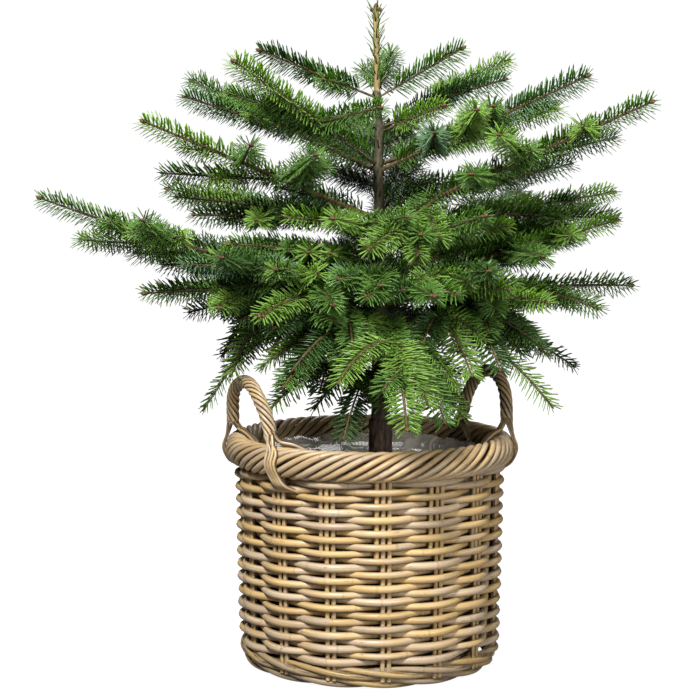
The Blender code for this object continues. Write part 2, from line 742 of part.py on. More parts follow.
# Needles round the leader: a sleeve with teeth that lean up along it
def make_leader_needles():
    heights = np.linspace(SLEEVE_FOOT, SLEEVE_TOP, SLEEVE_STATIONS)
    corners = []
    for height in heights:
        clear = (trunk_surface(0.0, SLEEVE_FOOT, SLEEVE_CLEAR) + GAP) / math.cos(math.pi / SLEEVE_SIDES)
        for radius in (clear, clear + SLEEVE_WALL):
            corners += ring(trunk_axis(height), radial(0), radial(90), [radius] * SLEEVE_SIDES)
    turn = 2 * SLEEVE_SIDES
    faces = []
    for index in range(SLEEVE_STATIONS):
        for side in range(SLEEVE_SIDES):
            across = (side + 1) % SLEEVE_SIDES
            inner = (turn * index + side, turn * index + across)
            outer = (inner[0] + SLEEVE_SIDES, inner[1] + SLEEVE_SIDES)
            if index == 0:
                faces.append((inner[0], inner[1], outer[1], outer[0]))
            if index == SLEEVE_STATIONS - 1:
                faces.append((outer[0], outer[1], inner[1], inner[0]))
                continue
            faces.append((inner[0] + turn, inner[1] + turn, inner[1], inner[0]))
            above = (outer[0] + turn, outer[1] + turn)
            if (side + index) % 2:
                faces.append((outer[0], outer[1], above[1], above[0]))
                continue
            azimuth = 360.0 * (side + 0.5) / SLEEVE_SIDES
            height = 0.5 * (heights[index] + heights[index + 1]) + LEADER_LEAN
            tip = trunk_axis(height) + LEADER_REACH * radial(azimuth)
            apex = len(corners)
            corners.append(tip)
            faces += [(outer[0], outer[1], apex), (outer[1], above[1], apex),
                      (above[1], above[0], apex), (above[0], outer[0], apex)]
    return add_object("needles_leader", corners, faces)


def main():
    clear_scene()
    wall = make_wall()
    foot = make_foot()
    floor = disc("basket_floor", FLOOR_RADIUS, 0.0, FOOT_HEIGHT)
    border = border_band("basket_border")
    handles = [make_handle(name, middle) for name, middle in HANDLES.items()]
    liner = make_liner()
    ball = make_root_ball()
    trunk = make_trunk()
    leader = make_leader_needles()
    limbs = [make_limb("bough_" + name, bough_axis(name)) for name in BOUGHS
             if has_limb(bough_axis(name))]
    space = Space()
    for obj in [border, liner, ball, trunk, leader] + handles + limbs:
        add_solid_to(space, obj)
    masses = {name: fuse("needles_" + name, shapes)
              for name, shapes in grow_sprays(space).items() if shapes}

    for obj in [wall, foot, floor] + handles:
        finish(obj, "cane")
    finish(border, "cane_dark")
    finish(liner, "film")
    finish(ball, "soil")
    finish(trunk, "bark")
    finish(leader, "needles_top")
    for limb in limbs:
        finish(limb, "twig")
    for name, mass in masses.items():
        level = "low" if name[0] in "ef" else "mid" if name[0] in "cd" else "top"
        finish(mass, "needles_" + level)


main()
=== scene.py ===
# Looks of a young fir that grows in a woven cane basket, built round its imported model.
# Metres, +Z up. The origin is the centre of the basket's underside.
import math
import random

import bpy
import numpy as np
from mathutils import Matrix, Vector, noise


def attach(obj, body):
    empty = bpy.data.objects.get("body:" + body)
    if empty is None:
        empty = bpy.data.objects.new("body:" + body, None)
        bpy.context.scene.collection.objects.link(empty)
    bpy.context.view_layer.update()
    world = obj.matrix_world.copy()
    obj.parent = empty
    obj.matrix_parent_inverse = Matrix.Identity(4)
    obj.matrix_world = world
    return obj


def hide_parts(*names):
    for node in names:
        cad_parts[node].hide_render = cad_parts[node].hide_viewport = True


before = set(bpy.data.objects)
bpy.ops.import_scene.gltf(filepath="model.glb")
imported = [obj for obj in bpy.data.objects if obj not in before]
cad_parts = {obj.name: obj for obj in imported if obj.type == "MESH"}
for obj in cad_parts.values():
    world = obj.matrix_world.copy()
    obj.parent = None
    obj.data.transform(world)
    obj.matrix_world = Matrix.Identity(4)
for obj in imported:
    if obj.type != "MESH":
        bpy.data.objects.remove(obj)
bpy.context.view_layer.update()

up = np.array([0.0, 0.0, 1.0])


def switchMode(mode):
    bpy.ops.object.mode_set(mode=mode)


def deselectAll():
    if bpy.context.object and bpy.context.object.mode != "OBJECT":
        switchMode("OBJECT")
    bpy.ops.object.select_all(action="DESELECT")


def addDrum(name, columns, radius, low, high, ends):
    deselectAll()
    bpy.ops.mesh.primitive_cylinder_add(vertices=columns, radius=radius, depth=high - low,
                                        end_fill_type=ends, location=(0, 0, low + (high - low) / 2))
    drum = bpy.context.object
    drum.name = name
    bpy.ops.object.transform_apply(location=True, rotation=False, scale=False)
    return drum


def radial(azimuth):
    angle = math.radians(azimuth)
    return np.array([math.cos(angle), math.sin(angle), 0.0])


def spreadOf(chance, reach):
    return chance.uniform(-reach, reach)


def unit(vector):
    return vector / np.linalg.norm(vector, axis=-1, keepdims=True)


def swung(turn, first, second):   # from the first direction on towards the second
    return np.cos(turn)[:, None] * first + np.sin(turn)[:, None] * second


def around(azimuths, radii, heights):   # points round the basket's axis
    angles = np.radians(azimuths)
    return np.stack([radii * np.cos(angles), radii * np.sin(angles), heights * np.ones(len(angles))], axis=1)


tube = {"grainShift": 3.0, "lengthShift": 9.0, "capOpen": 0.5, "mergeReach": 1e-6, "sharpAngle": 50.0}


# Round canes and twigs along paths of points and radii, each with a tone and grain of its
# own. A path may also give hubs, the places it is laid round: "open" is 1 on the sides
# towards and away from the hub and 0 where the neighbours touch, and the cane materials paint shade in the
# grooves where it is low.
def addTubes(name, paths, detail, seed):
    deselectAll()
    bpy.ops.curve.primitive_nurbs_path_add()
    tubes = bpy.context.object
    tubes.name = name
    curve = tubes.data
    curve.splines.clear()
    for points, radii, *_ in paths:
        spline = curve.splines.new("POLY")
        spline.points.add(len(points) - 1)
        spline.points.foreach_set("co", np.column_stack([points, np.ones(len(points))]).ravel())
        spline.points.foreach_set("radius", radii * np.ones(len(points)))
    curve.dimensions = "3D"
    curve.bevel_depth = 1.0
    curve.bevel_resolution = detail
    curve.use_fill_caps = True
    bpy.ops.object.convert(target="MESH")
    tubes = bpy.context.object
    sides = 4 + 2 * detail
    chance = random.Random(seed)
    angles = np.linspace(0, 2 * math.pi, sides, endpoint=False)
    mesh = tubes.data
    corners = np.array([vertex.co for vertex in mesh.vertices])
    used = 2 * sides * len(paths)
    grains, tones, opens = [], [], []
    for points, radii, *hubs in paths:
        facing = np.zeros((len(points), sides))
        if hubs:
            away = unit(corners[used:used + facing.size].reshape(-1, sides, 3) - points[:, None, :])
            facing = np.abs(np.sum(away * unit(points - hubs[0])[:, None, :], axis=2))
        used += facing.size
        opens.append(facing)
        along = np.concatenate([[0.0], np.cumsum(np.linalg.norm(np.diff(points, axis=0), axis=1))])
        place = np.zeros((len(points), sides, 3))
        place[:, :, 0] = np.cos(angles) * np.mean(radii) + chance.uniform(0, tube["grainShift"])
        place[:, :, 1] = np.sin(angles) * np.mean(radii)
        place[:, :, 2] = along[:, None] + chance.uniform(0, tube["lengthShift"])
        grains.append(place)
        tones.append(np.full(facing.shape, chance.random()))
    openCaps = [np.full(sides, tube["capOpen"])] * 2 * len(paths)
    for label, kind, field, parts, caps in (("grain", "FLOAT_VECTOR", "vector", grains, None),
                                            ("tone", "FLOAT", "value", tones, None),
                                            ("open", "FLOAT", "value", opens, openCaps)):
        # the end caps come first, last tube first, and then the tubes
        caps = caps or [part[end] for part in reversed(parts) for end in (-1, 0)]
        values = np.concatenate([part.ravel() for part in caps + parts])
        if label != "open" or any(len(path) > 2 for path in paths):
            mesh.attributes.new(label, kind, "POINT").data.foreach_set(field, values)
    switchMode("EDIT")
    bpy.ops.mesh.select_all(action="SELECT")
    bpy.ops.mesh.remove_doubles(threshold=tube["mergeReach"])
    switchMode("OBJECT")
    bpy.ops.object.shade_smooth_by_angle(angle=math.radians(tube["sharpAngle"]))
    return tubes


def addMesh(name, corners, faces, kinds=None):   # faces all have the same number of corners
    mesh = bpy.data.meshes.new(name)
    mesh.vertices.add(len(corners))
    mesh.vertices.foreach_set("co", np.asarray(corners, np.float32).ravel())
    mesh.loops.add(faces.size)
    mesh.loops.foreach_set("vertex_index", faces.astype(np.int32).ravel())
    mesh.polygons.add(len(faces))
    mesh.polygons.foreach_set("loop_start", np.arange(0, faces.size, faces.shape[1], dtype=np.int32))
    if kinds is not None:
        mesh.polygons.foreach_set("material_index", kinds.astype(np.int32))
    mesh.update(calc_edges=True)
    piece = bpy.data.objects.new(name, mesh)
    bpy.context.scene.collection.objects.link(piece)
    return piece


def keep(piece, slot, nodes, *materials):
    for material in materials:
        piece.data.materials.append(material)
    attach(piece, "root")
    if nodes:
        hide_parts(*nodes)


def nodesNamed(*starts):
    return sorted(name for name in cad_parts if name.startswith(starts))


# Sets a node's inputs to numbers, to colours or to what other nodes put out
def feed(tree, node, inputs):
    for name, value in inputs.items():
        if isinstance(value, bpy.types.NodeSocket):
            tree.links.new(value, node.inputs[name])
        elif node.inputs[name].type == "RGBA":
            node.inputs[name].default_value = (*value, 1.0)
        else:
            node.inputs[name].default_value = value


def addNode(tree, kind, inputs=None, **settings):
    node = tree.nodes.new("ShaderNode" + kind)
    for name, value in settings.items():
        setattr(node, name, value)
    feed(tree, node, inputs or {})
    return node.outputs


def compute(tree, operation, *values):
    return addNode(tree, "Math", dict(enumerate(values)), operation=operation)[0]


def blendColours(tree, share, first, second):
    return addNode(tree, "Mix", {0: share, 6: first, 7: second}, data_type="RGBA")[2]


def spread(tree, value, low, high, newLow=0.0, newHigh=1.0):
    return addNode(tree, "MapRange", {"Value": value, "From Min": low, "From Max": high,
                                      "To Min": newLow, "To Max": newHigh})["Result"]


def noiseAt(tree, vector, stretch, detail):
    place = addNode(tree, "Mapping", {"Vector": vector, "Scale": stretch})["Vector"]
    return addNode(tree, "TexNoise", {"Vector": place, "Scale": 1.0, "Detail": detail})["Fac"]


cane = {
    "fibre": (700.0, 700.0, 14.0), "patch": (60.0, 60.0, 20.0), "fleck": (420.0, 420.0, 120.0),
    "patchShift": 0.5, "streak": 0.42, "fleckShare": 0.55, "shadeTurns": 7.3, "shade": 0.26,
    "ringApart": 0.085, "ringWide": 0.0022, "ringShare": 0.25, "roughness": (0.34, 0.56),
    # the share and darkness before specular set how strong and how dark the painted groove shade is
    "paintedShadeShare": 0.92, "paintedShadeDark": 0.35, "specular": 0.45, "bump": 0.5, "bumpHeight": 0.0006,
}


# Cane: long fibres, slow changes of tone, flecks and a faint ring at each node
def makeCaneGroup():
    group = bpy.data.node_groups.new("caneGrain", "ShaderNodeTree")
    for way, kind, *names in (("INPUT", "Vector", "Grain"), ("INPUT", "Float", "Tone"),
                              ("INPUT", "Color", "Honey", "Grey", "Dark"),
                              ("OUTPUT", "Color", "Color"), ("OUTPUT", "Float", "Roughness", "Height")):
        for name in names:
            group.interface.new_socket(name=name, in_out=way, socket_type="NodeSocket" + kind)
    given = group.nodes.new("NodeGroupInput").outputs
    result = group.nodes.new("NodeGroupOutput")
    fibre = noiseAt(group, given["Grain"], cane["fibre"], 4.0)
    patch = noiseAt(group, given["Grain"], cane["patch"], 3.0)
    fleck = spread(group, noiseAt(group, given["Grain"], cane["fleck"], 2.0), 0.64, 0.74)
    shift = spread(group, patch, 0.3, 0.7, -cane["patchShift"], cane["patchShift"])
    tone = compute(group, "ADD", given["Tone"], shift)
    base = blendColours(group, spread(group, tone, 0.15, 0.85), given["Honey"], given["Grey"])
    turned = compute(group, "MULTIPLY", given["Tone"], cane["shadeTurns"])
    shade = compute(group, "PINGPONG", turned, 1.0)
    lengthwise = addNode(group, "SeparateXYZ", {0: given["Grain"]})["Z"]
    ringAt = compute(group, "PINGPONG", lengthwise, cane["ringApart"])
    ringMask = spread(group, ringAt, 0.0, cane["ringWide"], 1.0, 0.0)
    for share in (spread(group, fibre, 0.35, 0.75, 0.0, cane["streak"]),
                  compute(group, "MULTIPLY", fleck, cane["fleckShare"]),
                  spread(group, shade, 0.0, 1.0, 0.0, cane["shade"]),
                  compute(group, "MULTIPLY", ringMask, cane["ringShare"])):
        base = blendColours(group, share, base, given["Dark"])
    rough = spread(group, fibre, 0.3, 0.8, *cane["roughness"])
    height = compute(group, "ADD", compute(group, "MULTIPLY", fibre, 0.5), ringMask)
    feed(group, result, {"Color": base, "Roughness": rough, "Height": height})
    return group


def addPrincipled(name):
    material = bpy.data.materials.new(name)
    material.use_nodes = True
    return material, material.node_tree, material.node_tree.nodes["Principled BSDF"]


def addBump(tree, shader, height, strength, distance):
    bump = addNode(tree, "Bump", {"Strength": strength, "Distance": distance, "Height": height})
    feed(tree, shader, {"Normal": bump["Normal"]})


caneGroup = makeCaneGroup()


# Painted shade in the groove between canes: darkest where "open" is under closed, fading out up to lit
def makeCane(name, honey, grey, dark, closed=0.06, lit=0.50):
    material, tree, shader = addPrincipled(name)
    grain, tone, shown = (addNode(tree, "Attribute", attribute_name=label)
                          for label in ("grain", "tone", "open"))
    surface = tree.nodes.new("ShaderNodeGroup")
    surface.node_tree = caneGroup
    feed(tree, surface, {"Grain": grain["Vector"], "Tone": tone["Fac"], "Honey": honey, "Grey": grey,
                         "Dark": dark})
    # painted shade: where neighbouring canes touch, the colour is darkened towards a deep copy of the dark
    # colour
    paintedGrooveShade = spread(tree, shown["Fac"], closed, lit, cane["paintedShadeShare"], 0.0)
    paintedShadeDark = tuple(cane["paintedShadeDark"] * part for part in dark)
    feed(tree, shader, {"Base Color": blendColours(tree, paintedGrooveShade, surface.outputs["Color"], paintedShadeDark),
                        "Roughness": surface.outputs["Roughness"],
                        "Specular IOR Level": cane["specular"]})
    addBump(tree, shader, surface.outputs["Height"], cane["bump"], cane["bumpHeight"])
    return material


# Bark, soil and needles take their pattern from places in the object
def makeSpeckled(name, light, dark, scale, roughness, bumpHeight, specular=0.5):
    material, tree, shader = addPrincipled(name)
    place = addNode(tree, "TexCoord")["Object"]
    share = spread(tree, noiseAt(tree, place, scale, 5.0), 0.35, 0.65)
    feed(tree, shader, {"Base Color": blendColours(tree, share, dark, light), "Roughness": roughness,
                        "Specular IOR Level": specular})
    if bumpHeight:
        addBump(tree, shader, share, 0.6, bumpHeight)
    return material


# Honey, grey and dark colour, and for the handles where the painted groove shade starts and ends
caneColours = {
    "caneWeave": ((0.64, 0.445, 0.195), (0.60, 0.47, 0.32), (0.13, 0.064, 0.020)),
    "caneStake": ((0.58, 0.39, 0.160), (0.50, 0.37, 0.21), (0.07, 0.032, 0.010)),
    # the foot rope's colours are darker than the weave's as painted shade near the floor
    "caneFootPaintedShade": ((0.44, 0.300, 0.122), (0.40, 0.305, 0.195), (0.07, 0.033, 0.010)),
    "caneRope": ((0.59, 0.41, 0.200), (0.54, 0.42, 0.27), (0.10, 0.05, 0.018)),
    "caneHandle": ((0.60, 0.42, 0.205), (0.54, 0.42, 0.27), (0.10, 0.05, 0.018), 0.28, 0.76),
}
# Light and dark colour, scale of the pattern, roughness and height of the bumps
speckles = {
    "soilMatte": ((0.060, 0.040, 0.022), (0.012, 0.008, 0.005), (260.0, 260.0, 260.0), 0.95, 0.003),
    "barkOld": ((0.115, 0.075, 0.05), (0.02, 0.013, 0.01), (300.0, 300.0, 60.0), 0.9, 0.0016),
    "barkYoung": ((0.095, 0.077, 0.040), (0.026, 0.020, 0.011), (260.0, 260.0, 90.0), 0.75, 0.0008),
    "barkLeader": ((0.34, 0.25, 0.10), (0.13, 0.09, 0.035), (240.0, 240.0, 80.0), 0.65, 0.0005),
    "barkTwig": ((0.130, 0.090, 0.028), (0.038, 0.025, 0.009), (200.0, 200.0, 200.0), 0.7, 0.0005),
    "budScale": ((0.165, 0.080, 0.026), (0.060, 0.029, 0.011), (420.0, 420.0, 420.0), 0.6, 0.0006),
    "caneFloor": ((0.42, 0.29, 0.15), (0.16, 0.10, 0.05), (60.0, 60.0, 60.0), 0.6, 0.001),
}
looks = {name: makeCane(name, *values) for name, values in caneColours.items()}
looks |= {name: makeSpeckled(name, *values) for name, values in speckles.items()}
filmLook = {
    "wrinkles": 16.0, "paintedHighlightWide": 0.022, "paintedHighlightAlpha": 0.92, "flatAlpha": 0.26,
    "colour": (0.95, 0.88, 0.76), "roughness": 0.07, "bump": 0.2, "bumpHeight": 0.006,
}


def makeFilm():
    material, tree, shader = addPrincipled("filmClear")
    place = addNode(tree, "TexCoord")["Object"]
    wrinkle = noiseAt(tree, place, (filmLook["wrinkles"],) * 3, 1.0)
    crease = compute(tree, "ABSOLUTE", compute(tree, "SUBTRACT", wrinkle, 0.5))
    # painted highlights: the film is near-opaque along the creases, so they show as white streaks standing
    # in for glints
    alpha = spread(tree, crease, 0.0, filmLook["paintedHighlightWide"], filmLook["paintedHighlightAlpha"], filmLook["flatAlpha"])
    feed(tree, shader, {"Base Color": filmLook["colour"], "Roughness": filmLook["roughness"],
                        "Alpha": alpha})
    addBump(tree, shader, crease, filmLook["bump"], filmLook["bumpHeight"])
    return material


looks["filmClear"] = makeFilm()
print("materials ready")


basket = {
    "stakes": 15, "firstStake": 10.8, "courses": 27, "weaveFoot": 0.0285, "weaveTop": 0.2705,
    "weaverRadius": 0.0049, "weaveSwing": 0.0079, "middleFoot": 0.1674, "middleTop": 0.1732,
    "stakeRadius": 0.0033, "stakeApart": 0.0086, "stakeOut": 0.0028, "stakeFoot": 0.010, "stakeTop": 0.282,
    "thirdStakeFoot": 0.178, "placesPerStake": 6, "weaverLength": (0.5, 1.5), "overlap": 0.25,
    "courseSpread": 0.0004, "weaverRange": (0.90, 1.06), "uneven": 0.07, "crestThick": 0.05,
    "unevenSpan": 31.0, "footSpread": 0.01, "stakeSpread": 0.0006, "stakeRange": (0.9, 1.05),
    "stakePlaces": 12, "seed": 5,
}


def wallMiddle(height):
    share = np.clip((height - basket["weaveFoot"]) / (basket["weaveTop"] - basket["weaveFoot"]), 0, 1)
    return basket["middleFoot"] + (basket["middleTop"] - basket["middleFoot"]) * share


# One weaver goes round and round, over one stake group and under the next. It is made of
# canes that overlap behind a stake.
def weavers():
    chance = random.Random(basket["seed"])
    pitch = (basket["weaveTop"] - basket["weaveFoot"]) / basket["courses"]
    step = 360.0 / basket["stakes"]
    start = 0.0
    whole = 360.0 * basket["courses"]
    paths = []
    while start < whole:
        turns = chance.uniform(*basket["weaverLength"])
        end = min(start + round(turns * 360 / step) * step, whole)
        past = basket["overlap"] * step
        azimuths = np.arange(start - past, end + past, step / basket["placesPerStake"])
        heights = basket["weaveFoot"] + pitch * azimuths / 360.0
        heights = heights + spreadOf(chance, basket["courseSpread"])
        wave = np.cos(np.pi * azimuths / step)
        radii = wallMiddle(heights) + wave * basket["weaveSwing"]
        thick = basket["weaverRadius"] * chance.uniform(*basket["weaverRange"])
        ripple = np.sin(azimuths / basket["unevenSpan"] + chance.uniform(0, 6))
        uneven = 1 + basket["uneven"] * ripple + basket["crestThick"] * wave
        azimuths = azimuths + basket["firstStake"]
        paths.append((around(azimuths, radii, heights), thick * uneven, around(azimuths, 0.0, heights)))
        start = end
    return paths


# Three stakes stand at each place. The third one starts higher up.
def stakes():
    paths = []
    chance = random.Random(basket["seed"] + 1)
    for stake in range(basket["stakes"]):
        for place in (-1, 0, 1):
            low = basket["stakeFoot"]
            if place == -1:
                low = basket["thirdStakeFoot"] + spreadOf(chance, basket["footSpread"])
            heights = np.linspace(low, basket["stakeTop"], basket["stakePlaces"])
            middle = wallMiddle(heights) + basket["stakeOut"]
            aside = place * basket["stakeApart"] + spreadOf(chance, basket["stakeSpread"])
            azimuth = basket["firstStake"] + stake * 360.0 / basket["stakes"] + np.degrees(aside / middle)
            thick = basket["stakeRadius"] * chance.uniform(*basket["stakeRange"])
            paths.append((around(azimuth, middle, heights), thick, around(azimuth, 0.0 * heights, heights)))
    return paths


foot = {
    "rows": ((0.1648, 0.0088), (0.1700, 0.0205)), "strands": 3, "twistSpan": 72.0,
    "swing": 0.0044, "strandRadius": 0.0042, "places": 150,
}
border = {
    "strands": 60, "wrap": 54.0, "core": 0.0085, "middle": 0.180, "height": 0.2925, "halfWidth": 0.0175,
    "halfHeight": 0.0205, "strandRadius": 0.0043, "strandRange": (0.88, 1.06), "places": 34,
    "turnStart": -0.75, "turnSpread": 0.07, "corePlaces": 121, "seed": 8,
}
handle = {
    "middles": {"handle_left": 203.5, "handle_right": 21.0}, "spread": 23.0, "legOut": 0.008,
    "top": 0.399, "rope": 0.0090, "bow": 0.004, "shoulder": 0.80, "strands": 7, "strandRadius": 0.0026,
    "core": 0.0055, "turns": -3.2, "places": 110, "legEnd": 0.085, "frontOutside": 4, "backOutside": 3,
    "strandApart": 1.42, "insideDrop": 0.7, "joinPlaces": 34,
}
# How a cane leaves a leg: azimuth on from the leg, radius and height of each place
strapOutside = ((0.2, 0.1955, 0.3085), (0.3, 0.2003, 0.2925), (1.0, 0.1942, 0.2755), (3.0, 0.1892, 0.2640),
                (6.8, 0.1745, 0.2550))
strapTucked = ((0.2, 0.1955, 0.3085), (0.3, 0.2003, 0.2925), (0.9, 0.1938, 0.2765), (2.0, 0.1840, 0.2690),
               (3.4, 0.1745, 0.2640))
# and for the canes that go inside, how far each next one lies inward and down
strapInside = ((2.5, 0.1790, 0.3190, 0.0034), (8.0, 0.1700, 0.3150, 0.0030), (14.0, 0.1610, 0.3050, 0.0016),
               (18.0, 0.1570, 0.2900, 0.0))


def footStrands():
    paths = []
    for row, (middle, height) in enumerate(foot["rows"]):
        for strand in range(foot["strands"]):
            azimuths = np.linspace(0, 360, foot["places"] + 1)
            turn = 2 * math.pi * (azimuths / foot["twistSpan"] + strand / foot["strands"] + 0.5 * row)
            radii = middle + foot["swing"] * np.cos(turn)
            heights = height - foot["swing"] * np.sin(turn)
            hubs = around(azimuths, middle, height)
            paths.append((around(azimuths, radii, heights), foot["strandRadius"], hubs))
    return paths


# Each border strand climbs outside the rim as the azimuth grows, goes over the top and
# dives inside
def borderStrands():
    paths = []
    chance = random.Random(border["seed"])
    wide = border["halfWidth"] - border["strandRadius"]
    tall = border["halfHeight"] - border["strandRadius"]
    for strand in range(border["strands"]):
        share = np.linspace(0, 1, border["places"])
        azimuths = 360.0 * strand / border["strands"] + border["wrap"] * share
        turn = math.pi * (border["turnStart"] + 2 * share) + spreadOf(chance, border["turnSpread"])
        radii = border["middle"] + wide * np.cos(turn)
        heights = border["height"] + tall * np.sin(turn)
        thick = border["strandRadius"] * chance.uniform(*border["strandRange"])
        hubs = around(azimuths, border["middle"], border["height"])
        paths.append((around(azimuths, radii, heights), thick, hubs))
    core = around(np.linspace(0, 360, border["corePlaces"]), border["middle"], border["height"])
    return paths + [(core, border["core"])]


def handlePath(middle, share):
    swing = math.pi * share
    azimuth = middle - handle["spread"] * np.cos(swing)
    out = handle["legOut"] * (1 - np.sin(swing)) + handle["bow"] * np.sin(2 * swing) ** 2
    rise = np.sin(swing) ** handle["shoulder"]
    height = border["height"] + (handle["top"] - handle["rope"] - border["height"]) * rise
    return around(azimuth, border["middle"] + out, height)


# Twisted canes follow the arch. At each leg some pass outside the border, side by side,
# and the others pass over it and inside, and all end in the weave.
def handleStrands(middle):
    share = np.linspace(handle["legEnd"], 1 - handle["legEnd"], handle["places"])
    centre = handlePath(middle, share)
    along = unit(np.gradient(centre, axis=0))
    outward = centre * [1, 1, 0]
    outward = unit(outward - along * np.sum(outward * along, axis=1, keepdims=True))
    side = np.cross(along, outward)
    offset = handle["rope"] - handle["strandRadius"]
    frontEnd = 1 if math.cos(math.radians(middle)) < 0 else -1
    ropes = []
    hubs = [centre] * handle["strands"]
    for strand in range(handle["strands"]):
        turn = 2 * math.pi * (strand / handle["strands"] + handle["turns"] * (share - 0.5))
        ropes.append(centre + offset * swung(turn, outward, side))
    for end, sign in ((0, -1), (-1, 1)):
        isFront = sign == frontEnd
        isLong = isFront and middle == handle["middles"]["handle_left"]
        outside = handle["frontOutside"] if isFront else handle["backOutside"]
        order = sorted(range(len(ropes)), key=lambda index: -np.linalg.norm(ropes[index][end][:2]))
        for rank, index in enumerate(order):
            if rank < outside:
                places = [(swing + handle["strandApart"] * rank, radius, height)
                          for swing, radius, height in (strapOutside if isLong else strapTucked)]
            else:
                inward = rank - outside
                drop = handle["insideDrop"] * inward
                places = [(swing, radius - across * inward, height - across * drop)
                          for swing, radius, height, across in strapInside]
            drift = sign if rank < outside or isFront else -sign
            swings, radii, heights = np.array(places).T
            leg = around(middle + sign * handle["spread"] + drift * swings, radii, heights)
            step = -1 if end == 0 else 1
            rope, hub = ropes[index][::step], hubs[index][::step]
            bend = smoothPath(np.concatenate([rope[-3:], leg]), handle["joinPlaces"])
            ropes[index] = np.concatenate([rope[:-3], bend])[::step]
            hubs[index] = np.concatenate([hub[:-3], bend * [0, 0, 1]])[::step]
    strands = [(rope, handle["strandRadius"], hub) for rope, hub in zip(ropes, hubs)]
    return strands + [(centre, handle["core"])]


def smoothPath(points, places):   # a Catmull-Rom curve through the points
    ends = np.concatenate([[2 * points[0] - points[1]], points, [2 * points[-1] - points[-2]]])
    place = np.linspace(0, len(points) - 1, places)
    first = np.minimum(place.astype(int), len(points) - 2)
    part = (place - first)[:, None]
    a, b, c, d = (ends[first + step] for step in range(4))
    return 0.5 * (2 * b + (c - a) * part + (2 * a - 5 * b + 4 * c - d) * part ** 2
                  + (3 * b - a - 3 * c + d) * part ** 3)


for name, node, slot, look, paths, detail, seed in (
        ("basketWeavers", "basket_wall", "cane", "caneWeave", weavers(), 3, 11),
        ("basketStakes", "basket_wall", "cane", "caneStake", stakes(), 2, 12),
        ("basketFootRope", "basket_foot", "cane", "caneFootPaintedShade", footStrands(), 3, 13),
        ("basketBorderRope", "basket_border", "cane_border", "caneRope", borderStrands(), 3, 14)):
    keep(addTubes(name, paths, detail, seed), slot, [node], looks[look])
for seed, (node, middle) in enumerate(handle["middles"].items(), 15):
    name = "handleRope" + node.split("_")[1].title()
    keep(addTubes(name, handleStrands(middle), 2, seed), "cane", [node], looks["caneHandle"])
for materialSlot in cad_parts["basket_floor"].material_slots:
    materialSlot.material = looks["caneFloor"]
print("basket woven")


inside = {
    "filmRadius": 0.1565, "filmFoot": 0.240, "filmTop": 0.289, "filmColumns": 180, "filmThick": 0.0004,
    "collar": ((0.149, 0.285), (0.137, 0.274), (0.116, 0.268), (0.088, 0.262), (0.060, 0.258)),
    "crumple": 0.0036, "crumpleScale": 32.0, "filmStill": 0.005, "filmSharp": 70.0,
    "soilRadius": 0.1552, "soilLow": 0.0256, "soilTop": 0.250, "soilColumns": 96, "soilRings": 14,
    "ringStep": 0.0105, "crumbs": 0.0035, "crumbScale": 70.0, "hair": 0.001,
}


# Moves each corner of the film by a crumple that is fixed for its place
def crumple(film):
    for vertex in film.data.vertices:
        place = vertex.co * inside["crumpleScale"]
        if vertex.co.z > inside["filmFoot"] + inside["filmStill"]:
            shift = Vector((noise.noise(place), noise.noise(place + Vector((7, 0, 0))),
                            1.4 * noise.noise(place + Vector((0, 9, 0)))))
            vertex.co += inside["crumple"] * shift


# Every edge of the tube is drawn inward, so the collar is an upper and a lower sheet
def makeFilmLiner():
    film = addDrum("filmLiner", inside["filmColumns"], inside["filmRadius"], inside["filmFoot"],
                   inside["filmTop"], "NOTHING")
    switchMode("EDIT")
    bpy.ops.mesh.select_all(action="SELECT")
    bpy.ops.mesh.select_mode(type="EDGE")
    reached, height = inside["filmRadius"], inside["filmTop"]
    for radius, level in inside["collar"]:
        bpy.ops.mesh.extrude_edges_move()
        bpy.ops.transform.resize(value=(radius / reached, radius / reached, 1.0))
        bpy.ops.transform.translate(value=(0, 0, level - height))
        reached, height = radius, level
    bpy.ops.mesh.select_all(action="SELECT")
    bpy.ops.mesh.subdivide(number_cuts=1)
    switchMode("OBJECT")
    crumple(film)
    thick = film.modifiers.new("thick", "SOLIDIFY")
    thick.thickness = inside["filmThick"]
    bpy.ops.object.modifier_apply(modifier=thick.name)
    bpy.ops.object.shade_smooth_by_angle(angle=math.radians(inside["filmSharp"]))
    return film


def makeSoil():
    soil = addDrum("soilBall", inside["soilColumns"], inside["soilRadius"], inside["soilLow"],
                   inside["soilTop"], "NGON")
    switchMode("EDIT")
    bpy.ops.mesh.select_all(action="DESELECT")
    switchMode("OBJECT")
    for face in soil.data.polygons:
        face.select = face.normal.z > 0.9
    switchMode("EDIT")
    bpy.ops.mesh.select_mode(type="FACE")
    for _ in range(inside["soilRings"]):
        bpy.ops.mesh.inset(thickness=inside["ringStep"], depth=0.0)
    switchMode("OBJECT")
    for vertex in soil.data.vertices:
        if vertex.co.z > inside["soilTop"] - inside["hair"]:
            vertex.co.z -= inside["crumbs"] * (1 + noise.noise(vertex.co * inside["crumbScale"]))
    return soil


keep(makeFilmLiner(), "clear_film", ["film_liner"], looks["filmClear"])
keep(makeSoil(), "soil", ["root_ball"], looks["soilMatte"])
print("film and soil laid")


